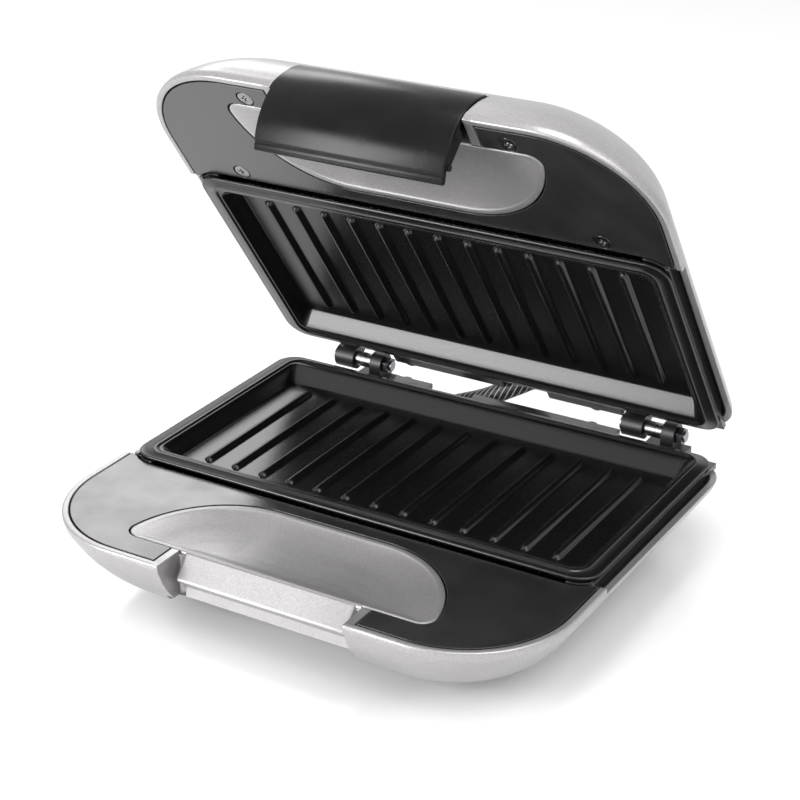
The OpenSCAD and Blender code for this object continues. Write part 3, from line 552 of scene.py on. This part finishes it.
def shellMesh(name):
    h = housing
    rows = smoothStations(h["skinRings"])
    outer, inner = housingRows(rows, 0), housingRows(rows, h["wall"])
    lip = [housingRing(rows[0], inset, h["lip"] - down)
           for inset, down in quarterRound(h["lipRound"], (0, 22.5, 45, 67.5, 90))]
    lip += [housingRing(rows[0], h["wall"] - inset, h["lip"] - down)
            for inset, down in quarterRound(h["innerRound"], (90, 60, 30, 0))]
    shell = loftMesh(name, list(reversed(outer[2:])) + lip + inner[2:])
    shell = carve(shell, [panelMesh(rows)], "UNION")
    return carve(shell, [notchWallMesh(rows)], "UNION")


def notchCutters():
    h = housing
    half, corner, back, spare = h["notchWidth"] / 2, h["notchRound"], h["notchBack"], h["spare"]
    plan = [(-half, h["front"] - spare), (half, h["front"] - spare)]
    plan += arcPoints(half - corner, back - corner, corner, 0, 90, 6)
    plan += arcPoints(-half + corner, back - corner, corner, 90, 180, 6)
    return [prism("notch", plan, -h["notchHeight"], spare),
            boxMesh("sideStep", -h["stepHalf"], h["stepHalf"], h["stepY"], h["stepRear"], h["edge"], spare)]


def scoopCutter():
    # finger scoop under the notch: its sides flare and its roof slopes down to the underside
    h = housing
    half, top, under = h["notchWidth"] / 2, -h["notchHeight"], -h["depth"]
    run = h["scoopRun"] * (h["depth"] - h["notchHeight"])
    shape = [(h["front"] - h["spare"], half, top), (h["front"] + h["scoopStart"], half, top),
             (nose["recess"], half + h["scoopFlare"] * h["scoopLead"], top),
             (nose["recess"] + run, half + h["scoopFlare"] * (run + h["scoopLead"]), under)]
    foot = under - h["spare"]
    return loftMesh("gripScoop", [[(-x, y, z), (x, y, z), (x, y, foot), (-x, y, foot)] for y, x, z in shape])


def noseMesh():
    # wall that slopes out to a rounded crest and falls back, rounded at its two ends
    n, lip = nose, housing["lip"]
    back, foot = housing["notchBack"], -housing["notchHeight"]
    ends = quarterRound(n["endRound"], (0, 30, 60, 90))
    rings = []
    for side, steps in ((-1, ends), (1, reversed(ends))):
        for inset, fade in steps:
            x = side * (n["halfWidth"] - inset)
            profile = [(back + n["root"], lip - n["rootTop"]), (back, lip - n["rootTop"]),
                       (back, lip - n["slopeTop"])]
            crestY = back - n["out"] + n["radius"] + fade
            profile += arcPoints(crestY, n["drop"], n["radius"], *n["crest"], 12)
            profile += [(n["recess"], n["recessTop"]), (n["recess"], foot), (back + n["root"], foot)]
            rings.append([(x, y, z) for y, z in profile])
    return loftMesh("catchNose", rings)


# Finger bowls: a D with a straight front, small tips and two large arcs
bowl = {
    "radius": 48.0, "span": 52.0, "tip": 6.0, "leastTip": 1.5, "front": -184.2, "centre": -184.6,
    "arcPoints": 30, "tipPoints": 10,
    "lip": -3.0, "gap": 0.05, "floor": 1.0,
    "rim": 2.6, "frontRim": 1.2, "rimThick": 1.6, "rimRound": 0.35, "rimSoft": 0.1,
    "neck": 2.8, "shoulder": 3.4, "shoulderDeep": 4.2, "panInset": (14, 10),  # the outside, under the rim
    # inset from the rim at the rear and sides, inset in front, share of the depth
    "steps": [(0, 0, 0), (0.6, 0.4, 0.1), (4, 1.2, 0.34), (9, 2.2, 0.6), (15, 3.2, 0.84), (24, 5, 1)],
    "ringsPerStep": 5,
    "reach": 76.0, "dished": 4.4,  # half the width over which it is dished, and the depth in the middle
    "stripLap": 0.9, "stripRound": 0.95, "stripSeat": 1.0,  # the strip over the notch's wall
}


def bowlOutline(inset, front):
    b = bowl
    n, middle, radius, x = b["arcPoints"], b["centre"], b["radius"] - inset, b["span"] / 2
    tip = max(b["tip"] - inset, b["leastTip"])
    tipY = b["front"] + front + tip
    tipX = math.sqrt((radius - tip) ** 2 - (tipY - middle) ** 2)
    meet = math.degrees(math.atan2(tipY - middle, tipX))
    gap = 90 / n
    return (arcPoints(x + tipX, tipY, tip, -90, meet, b["tipPoints"])
            + arcPoints(x, middle, radius, meet + gap, 90, n)
            + arcPoints(-x, middle, radius, 90, 180 - gap - meet, n)
            + arcPoints(-x - tipX, tipY, tip, 180 - meet, 270, b["tipPoints"]))


def bowlSeatCutters():
    b, h = bowl, housing
    floor = b["lip"] - b["rimThick"] - b["gap"]
    half = h["notchWidth"] / 2
    return [prism("bowlSeat", bowlOutline(-h["seam"], -h["seam"]), floor, h["spare"]),
            boxMesh("bowlStrip", -half, half, h["notchBack"] - b["stripSeat"], b["front"] + h["seam"],
                    floor, h["spare"])]


def sleeveCutters(half):
    # an upright slot in the rear edge with a round end
    h = housing
    x, r, (y0, y1) = h["slots"][half], h["slotHalf"], h["slotY"]
    ring = circlePoints(x, h["slotCentre"], r)
    return [boxMesh("sleeveCut", x - r, x + r, y0, y1, h["slotFloor"], h["spare"]),
            loftMesh("sleeveRound", [[(px, y, pz) for px, pz in ring] for y in (y0, y1)])]


for half, nodeName in (("base", "base_shell"), ("lid", "lid_shell")):
    cutters = notchCutters()
    if half == "base":
        cutters.append(scoopCutter())
    shell = carve(shellMesh(half + "Shell"), cutters + bowlSeatCutters() + sleeveCutters(half))
    if half == "base":
        shell = joinMeshes("baseShell", [shell, noseMesh()])
    finishMesh(half + "Housing", shell, half, materials["silver"], half, [nodeName])
print("housings made")


def dishRing(inset, front, share, closing=0.0):
    # the floor is dished from side to side; closing draws the last rings in to a line
    b = bowl
    outline = bowlOutline(inset, front)
    half, middle = b["span"] / 2, sum(y for x, y in outline) / len(outline)
    outline = [(x + closing * (max(-half, min(half, x)) - x), y + closing * (middle - y)) for x, y in outline]
    return [(x, y, b["lip"] - share * b["dished"] * (1 - (x / b["reach"]) ** 2)) for x, y in outline]


def dishMesh():
    # thin rim round a gently dished panel
    b = bowl
    under, steps, n = b["lip"] - b["rimThick"], b["steps"], b["ringsPerStep"]
    panSide, panFront = b["panInset"]
    pan = bowlOutline(b["rim"] + panSide, b["rim"] + panFront)
    rings = [atHeight(pan, b["lip"] - b["dished"] - b["floor"]),
             atHeight(bowlOutline(b["shoulder"], b["shoulder"]), b["lip"] - b["shoulderDeep"]),
             atHeight(bowlOutline(b["neck"], b["neck"]), under)]
    rings.append(atHeight(bowlOutline(0, 0), under))
    for inset, down in ((0, b["rimRound"]), (b["rimSoft"], b["rimSoft"]), (b["rimRound"], 0)):
        rings.append(atHeight(bowlOutline(inset, inset), b["lip"] - down))
    for i in range(len(steps) - 1):
        for k in range(n):
            side, front, share = smoothRow(steps, i, k / n)
            rings.append(dishRing(b["rim"] + side, b["frontRim"] + front, max(share, 0)))
    side, front, share = steps[-1]
    for closing in (0, 0.3, 0.6, 0.85, 0.995):
        rings.append(dishRing(b["rim"] + side, b["frontRim"] + front, share, closing))
    return loftMesh("dish", rings)


def stripMesh():
    # bridges the notch's wall in front of the bowl, with a rounded front edge
    b, h = bowl, housing
    front, rear = h["notchBack"] + b["gap"], b["front"] + b["stripLap"]
    half = h["notchWidth"] / 2 - h["seam"]
    under, top, r = b["lip"] - b["rimThick"], b["lip"] - touch, b["stripRound"]
    profile = [(rear, under), (front, under), (front, b["lip"] - b["stripSeat"])]
    profile += arcPoints(front + r, top - r, r, 180, 90, 6) + [(rear, top)]
    return prismAcross("bowlFront", profile, -half, half)


for half, nodeName in (("base", "base_finger_bowl"), ("lid", "lid_finger_bowl")):
    dish = joinMeshes(half + "Bowl", [dishMesh(), stripMesh()])
    finishMesh(half + "FingerBowl", dish, half, materials["silver"], half, [nodeName])
print("finger bowls made")


# Grill plates: flange with a bead, a shallow tray with sloping walls and half-round ribs
plate = {
    "width": 230.0, "depth": 127.0, "radius": 10.0, "thick": 1.6, "face": -0.5, "side": 9.0, "end": 8.5,
    "trayDepth": 7.5, "sideLean": 3.9, "endLean": 6.0, "edgeRound": 1.4, "footRound": 1.0,
    "flangeRound": 0.7, "cornerPoints": 10, "floorInset": 6.0,
    # corner radii at the front and hinge side: at the flange, and how much smaller at the floor
    "trayCorner": (6.0, 3.5), "cornerLoss": (2.2, 2.3),
    # the plate's back: its corner radii, and how far in its edges lie
    "underCorner": (7, 5), "underFoot": (5, 3), "underInset": 0.4, "underEdge": (0.1, 0.2),
    "bead": 0.65, "beadAt": (6.5, 5.0, 3.5), "beadHalf": 1.3,  # from the sides, the front and the hinge edge
    "beadCorner": 3.2, "beadPower": 0.8,
    "ribs": 13, "pitch": 14.7, "ribEnds": (-106.0, -21.0), "leastRib": 0.02,
    # half of a rib's outline: flared foot, then a round crest
    "ribSection": [(-2.9, 0.0), (-2.35, 0.14), (-1.95, 0.5), (-1.6, 1.05), (-1.1, 1.6), (-0.5, 1.93),
                   (0, 2.0)],
}


def plateRing(insetX, insetFront, insetBack, rFront, rBack, z):
    p = plate
    ring = roundRing(p["width"] - 2 * insetX, -p["depth"] + insetFront, -insetBack, rFront, rBack,
                     p["cornerPoints"])
    return atHeight(ring, z)


def wallInset(edge, lean, down):
    # how far in the tray wall stands at a depth, with rounded edge and foot
    p = plate
    deep = p["trayDepth"]
    slope = math.atan2(deep, lean)
    top, foot = p["edgeRound"], p["footRound"]
    if down < top * (1 - math.cos(slope)):
        return edge - top * math.tan(slope / 2) + math.sqrt(max(top**2 - (top - down) ** 2, 0))
    left = deep - down
    if left < foot * (1 - math.cos(slope)):
        return edge + lean + foot * math.tan(slope / 2) - math.sqrt(max(foot**2 - (foot - left) ** 2, 0))
    return edge + lean * down / deep


def trayRing(down, extra=0.0):
    p = plate
    x = wallInset(p["side"], p["sideLean"], down) + extra
    y = wallInset(p["end"], p["endLean"], down) + extra
    share = down / p["trayDepth"]
    front, hinge = (r - loss * share for r, loss in zip(p["trayCorner"], p["cornerLoss"]))
    return plateRing(x, y, y, front, hinge, p["face"] - down)


def ribMesh(x):
    # the section shrinks to nothing in a quarter circle at each end
    (front, back), half = plate["ribEnds"], plate["ribSection"]
    section = half + [(-a, b) for a, b in reversed(half[:-1])]
    width = -half[0][0]
    floor = plate["face"] - plate["trayDepth"] + touch
    turns = [math.radians(90 * i / 6) for i in range(7)]
    ends = [(front + width * (1 - math.cos(a)), math.sin(a)) for a in turns]
    ends += [(back - width * (1 - math.cos(a)), math.sin(a)) for a in reversed(turns)]
    rows = [[(x + sx * max(s, plate["leastRib"]), y, floor + sz * s) for sx, sz in section] for y, s in ends]
    return loftMesh("rib", rows, caps=False, closed=False)


def plateMesh():
    p = plate
    t, face, deep, r = p["thick"], p["face"], p["trayDepth"], p["radius"]
    gap, (chamfer, rise) = p["underInset"], p["underEdge"]
    side, end = p["side"] + p["sideLean"] - t + gap, p["end"] + p["endLean"] - t + gap
    rows = [plateRing(side, end, end, *p["underFoot"], face - deep - t),
            plateRing(p["side"] - t, p["end"] - t, p["end"] - t, *p["underCorner"], face - t),
            plateRing(gap, gap, gap, r, r, face - t),
            plateRing(chamfer, chamfer, chamfer, r, r, face - t + rise)]
    for back, fall in quarterRound(p["flangeRound"], (0, 30, 60, 90)):
        rows.append(plateRing(back, back, back, r - back, r - back, face - fall))
    for i in range(9):
        u = -1 + i / 4
        at = [b + p["beadHalf"] * u for b in p["beadAt"]]
        corner = r - p["beadCorner"] - u
        rows.append(plateRing(*at, corner, corner, face + p["bead"] * (1 - u * u) ** p["beadPower"]))
    # closer rings where the wall is rounded into the flange and the floor
    downs = [0.0, 0.04, 0.15, 0.35, 0.6, 2.0, 5.0, deep - 0.5, deep - 0.3, deep - 0.14, deep - 0.04, deep]
    rows += [trayRing(down) for down in downs]
    rows.append(trayRing(deep, p["floorInset"]))
    ribs = [ribMesh((i - (p["ribs"] - 1) / 2) * p["pitch"]) for i in range(p["ribs"])]
    return joinMeshes("grillPlate", [loftMesh("tray", rows)] + ribs)


for half, nodeName in (("base", "lower_plate"), ("lid", "upper_plate")):
    pieceName = "lowerGrillPlate" if half == "base" else "upperGrillPlate"
    finishMesh(pieceName, plateMesh(), half, materials["plate"], half, [nodeName], sharp=60)
print("grill plates made")


# Latch handle: a curved plate with a rolled lower lip, and an arm with two stubs at each end
latch = {
    "halfWidth": 43.9, "centreY": -171.4, "centreZ": -1.8, "radius": 28.9, "thick": 2.4, "up": 46, "down": 50,
    "arcSteps": 60, "edge": 0.5, "lipR": 1.15, "lipProud": 0.15, "lipArc": (125, -55),
    "grooveDeep": 0.45, "grooveAt": 4.6, "grooveHalf": 1.4,  # degrees up from the lower edge, and to each side
    "pivot": (-193.5, -6.5), "guide": (-190.5, 13.2), "inset": 0.8, "arm": 1.8, "pivotEye": 3.6,
    "armRear": [(3.0, -1.0), (2.6, 2.0)],                            # y from the pivot, z
    "armFront": [(6.2, 13.8), (3.0, 8.4), (1.2, 4.0), (0.9, -3.0)],  # y from behind the plate, z
    "armSunk": 1, "stub": 2.0, "guideR": 1.5, "stubReach": 3.4, "guideReach": 0.2, "stubChamfer": 0.3,
}


def latchSection():
    # side view, with a groove just above the rolled lip
    p = latch

    def pointAt(turn, radius):
        return p["centreY"] + radius * math.cos(turn), p["centreZ"] + radius * math.sin(turn)

    outer, inner = [], []
    for i in range(p["arcSteps"] + 1):
        turn = p["up"] - (p["up"] + p["down"]) * i / p["arcSteps"]
        above = turn + p["down"]
        dip = p["grooveDeep"] * max(0, 1 - abs(above - p["grooveAt"]) / p["grooveHalf"])
        outer.append(pointAt(math.radians(180 + turn), p["radius"] - dip))
        inner.append(pointAt(math.radians(180 + turn), p["radius"] - p["thick"]))
    tip = pointAt(math.radians(180 - p["down"]), p["radius"] - p["lipR"] + p["lipProud"])
    return outer + arcPoints(*tip, p["lipR"], *p["lipArc"], 12) + inner[::-1]


def drawnIn(profile, amount):
    # the profile moved inwards by an amount, whichever way round it runs
    area = sum(a[0] * b[1] - b[0] * a[1] for a, b in zip([profile[-1]] + profile, profile))
    side = 1 if area > 0 else -1
    result = []
    for i, (y, z) in enumerate(profile):
        py, pz = profile[i - 1]
        ny, nz = profile[(i + 1) % len(profile)]
        ty, tz = ny - py, nz - pz
        size = math.hypot(ty, tz) or 1
        result.append((y - side * tz / size * amount, z + side * ty / size * amount))
    return result


def latchMesh():
    p = latch
    w, profile = p["halfWidth"], latchSection()
    rings = [[(-w + inset, y, z) for y, z in drawnIn(profile, fade)]
             for inset, fade in quarterRound(p["edge"], (0, 30, 60, 90))]
    rings += [[(-x, y, z) for x, y, z in ring] for ring in reversed(rings)]
    meshes = [loftMesh("latchPlate", rings)]
    pivotY, pivotZ = p["pivot"]
    front = p["centreY"] - p["radius"] + p["armSunk"]
    arm = arcPoints(pivotY, pivotZ, p["pivotEye"], 200, 340, 8) + [(pivotY + y, z) for y, z in p["armRear"]]
    arm += arcPoints(*p["guide"], p["guideR"], 10, 110, 6) + [(front + y, z) for y, z in p["armFront"]]
    outside, chamfer = w - p["inset"], p["stubChamfer"]
    stubs = ((p["pivot"], p["stub"], p["stubReach"]), (p["guide"], p["guideR"], p["guideReach"]))
    for s in (-1, 1):
        meshes.append(prismAcross("latchArm", arm, s * (outside - p["arm"]), s * outside))
        for (y, z), r, reach in stubs:
            ring, small = circlePoints(y, z, r), circlePoints(y, z, r - chamfer)
            ends = [(outside - chamfer, ring), (w + reach - chamfer, ring), (w + reach, small)]
            meshes.append(loftMesh("latchStub", [[(s * x, b, c) for b, c in section] for x, section in ends]))
    return joinMeshes("latch", meshes)


finishMesh("latchHandle", latchMesh(), "lid", materials["latch"], "latch", ["latch_handle"],
           sharp=40)
print("latch made")


# Sleeve round the lid's lead: braided, led out of one rear edge and into the other
sleeve = {
    "radius": 4.65, "sides": 48, "stepsBetween": 6,
    "route": [
        (-24, -3.2, -10.5), (-24, 1, -10.5), (-24, 5.5, -10.5), (-23, 10, -10.5), (-20, 13.6, -10.2),
        (-15.5, 15.7, -8.9), (-8.9, 16.6, -5.8), (-0.8, 17.2, -1), (6.5, 17.9, 3.3), (11.8, 18.6, 6.4),
        (16, 18.8, 8.4), (18.9, 17.9, 9.6), (20, 16.2, 10.7), (20, 14.4, 12.8), (20, 12.4, 15.6),
        (20, 10.9, 17.7),
    ],
}


def sleevePath():
    # one smooth curve through the route
    points = [Vector(p) for p in sleeve["route"]]
    n = sleeve["stepsBetween"]
    path = []
    for i in range(len(points) - 1):
        a, b = points[i], points[i + 1]
        before, after = points[max(i - 1, 0)], points[min(i + 2, len(points) - 1)]
        for k in range(n):
            t = k / n
            curve = (2 * a) + (b - before) * t + (2 * before - 5 * a + 4 * b - after) * t * t
            path.append(0.5 * (curve + (3 * a - before - 3 * b + after) * t**3))
    return path + [points[-1]]


def sleeveMesh():
    path, n = sleevePath(), sleeve["sides"]
    turns = [2 * math.pi * k / n for k in range(n)]
    rings, lengths = [], [0.0]
    normal = Vector((0, 0, 1))
    for i, p in enumerate(path):
        along = (path[min(i + 1, len(path) - 1)] - path[max(i - 1, 0)]).normalized()
        normal = (normal - along * normal.dot(along)).normalized()
        side = along.cross(normal)
        spokes = [math.cos(t) * normal + math.sin(t) * side for t in turns]
        rings.append([tuple(p + sleeve["radius"] * spoke) for spoke in spokes])
        if i:
            lengths.append(lengths[-1] + (p - path[i - 1]).length)
    mesh = loftMesh("sleeve", rings)
    # the weave is laid out by turns round the tube and millimetres along it
    layer = mesh.uv_layers.new(name="weave")
    for face in mesh.polygons:
        corners = [mesh.loops[k].vertex_index for k in face.loop_indices]
        places = [c % n for c in corners]
        wraps = len(corners) == 4 and max(places) == n - 1 and min(places) == 0
        for k, c in zip(face.loop_indices, corners):
            turn = n if wraps and c % n == 0 else c % n
            layer.data[k].uv = (turn / n, lengths[c // n])
    return mesh


tube = finishMesh("leadSleeve", sleeveMesh(), "base", materials["sleeve"], None,
                  ["lead_sleeve"])
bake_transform(tube)
print("sleeve made")


# The table and the surroundings, halfSize in metres and mottle in mm
stageSet = {
    "colour": "#F3F3F3", "roughness": 0.16, "mottle": 166.6667, "halfSize": 8.0, "worldLight": 0.55,
}


def glossLaminate(name, p):
    # White laminate pressed on a polished plate: a soft mirror under the feet that is slightly uneven
    material, tree = newMaterial(name)
    place = addNode(tree, "ShaderNodeTexCoord")
    mottle = addNode(tree, "ShaderNodeTexNoise", {"Scale": 1000 / p["mottle"]}, [("Vector", place, "Object")])
    gloss = spreadNode(tree, mottle, p["roughness"], less=0.02, more=0.02)
    shader = addNode(tree, "ShaderNodeBsdfPrincipled", {"Base Color": toLinear(p["colour"]), "IOR": 1.45},
                     [("Roughness", gloss, "Result")])
    addNode(tree, "ShaderNodeOutputMaterial", None, [("Surface", shader, "BSDF")])
    return material


floorMesh = bpy.data.meshes.new("floor")
s = stageSet["halfSize"]
floorMesh.from_pydata([(-s, -s, 0), (s, -s, 0), (s, s, 0), (-s, s, 0)], [], [(0, 1, 2, 3)])
floorMesh.materials.append(glossLaminate("Gloss white laminate", stageSet))
floorPiece = placeObject("floor", floorMesh)


def studioWorld(name, light):
    # white where the camera, a mirror or glass looks at it, and dimmer as a light
    world = bpy.data.worlds.new(name)
    world.use_nodes = True
    tree = world.node_tree
    tree.nodes.clear()
    rays = addNode(tree, "ShaderNodeLightPath")
    seen = addNode(tree, "ShaderNodeMath", {"operation": "MAXIMUM"},
                   [(0, rays, "Is Camera Ray"), (1, rays, "Is Glossy Ray")])
    seenOrThrough = addNode(tree, "ShaderNodeMath", {"operation": "MAXIMUM"},
                            [(0, seen, "Value"), (1, rays, "Is Transmission Ray")])
    strength = addNode(tree, "ShaderNodeMapRange", {"To Min": light, "To Max": 1.0},
                       [("Value", seenOrThrough, "Value")])
    sky = addNode(tree, "ShaderNodeBackground", {"Color": (1, 1, 1, 1)}, [("Strength", strength, "Result")])
    addNode(tree, "ShaderNodeOutputWorld", None, [("Surface", sky, "Background")])
    return world


bpy.context.scene.world = studioWorld("White studio", stageSet["worldLight"])

# the two fills light the table and the paint evenly and aren't mirrored in the glossy parts
lights = {
    "frontLeftSoftbox": {"at": (-0.68, -1.13, 0.43), "aim": (0, 0, 0.12), "size": (0.54, 0.68), "power": 18},
    "rearLeftSoftbox": {"at": (-1.12, 1.2, 0.94), "aim": (0, 0, 0.05), "size": (0.55, 0.5), "power": 3.3},
    "rightSoftbox": {"at": (0.95, -0.25, 1.0), "aim": (0, 0, 0.1), "size": (0.9, 0.9), "power": 8},
    "overheadSoftbox": {"at": (0.1, 0.1, 1.5), "aim": (0, 0.05, 0), "size": (0.6, 0.6), "power": 9},
    "frontFill": {"at": (0.1, -1.1, 1.3), "aim": (0, -0.1, 0), "size": (1.6, 1.0), "power": 9,
                  "mirrored": False},
    "lowFill": {"at": (0.2, -1.3, 0.25), "aim": (0, 0, 0.2), "size": (1.2, 0.4), "power": 3,
                "mirrored": False},
}
for name, light in lights.items():
    lamp = bpy.data.lights.new(name, "AREA")
    lamp.shape = "RECTANGLE"
    lamp.size, lamp.size_y = light["size"]
    lamp.energy = light["power"]
    lampObject = placeObject(name, lamp)
    lampObject.location = light["at"]
    sight = Vector(light["aim"]) - Vector(light["at"])
    lampObject.rotation_euler = sight.to_track_quat("-Z", "Y").to_euler()
    lampObject.visible_glossy = light.get("mirrored", True)

# angles in degrees, distance and target in metres, lens and sensor in millimetres
view = {
    "azimuth": 31.13, "elevation": 25.16, "roll": -0.34, "distance": 0.88085,
    "target": (-0.01353, 0.03815, 0.06799), "lens": 88.472, "sensor": 36,
}
az, el, roll = (math.radians(view[k]) for k in ("azimuth", "elevation", "roll"))
forward = Vector((-math.sin(az) * math.cos(el), math.cos(az) * math.cos(el), -math.sin(el)))
right = Vector((math.cos(az), math.sin(az), 0))
up = right.cross(forward)
cameraX = math.cos(roll) * right + math.sin(roll) * up
cameraY = -math.sin(roll) * right + math.cos(roll) * up
cameraData = bpy.data.cameras.new("camera")
cameraData.lens = view["lens"]
cameraData.sensor_width = view["sensor"]
camera = placeObject("camera", cameraData)
spot = Vector(view["target"]) - view["distance"] * forward
camera.matrix_world = Matrix((
    (cameraX.x, cameraY.x, -forward.x, spot.x), (cameraX.y, cameraY.y, -forward.y, spot.y),
    (cameraX.z, cameraY.z, -forward.z, spot.z), (0, 0, 0, 1)))
bpy.context.scene.camera = camera
bpy.context.scene.view_settings.view_transform = "Standard"
print("studio made")
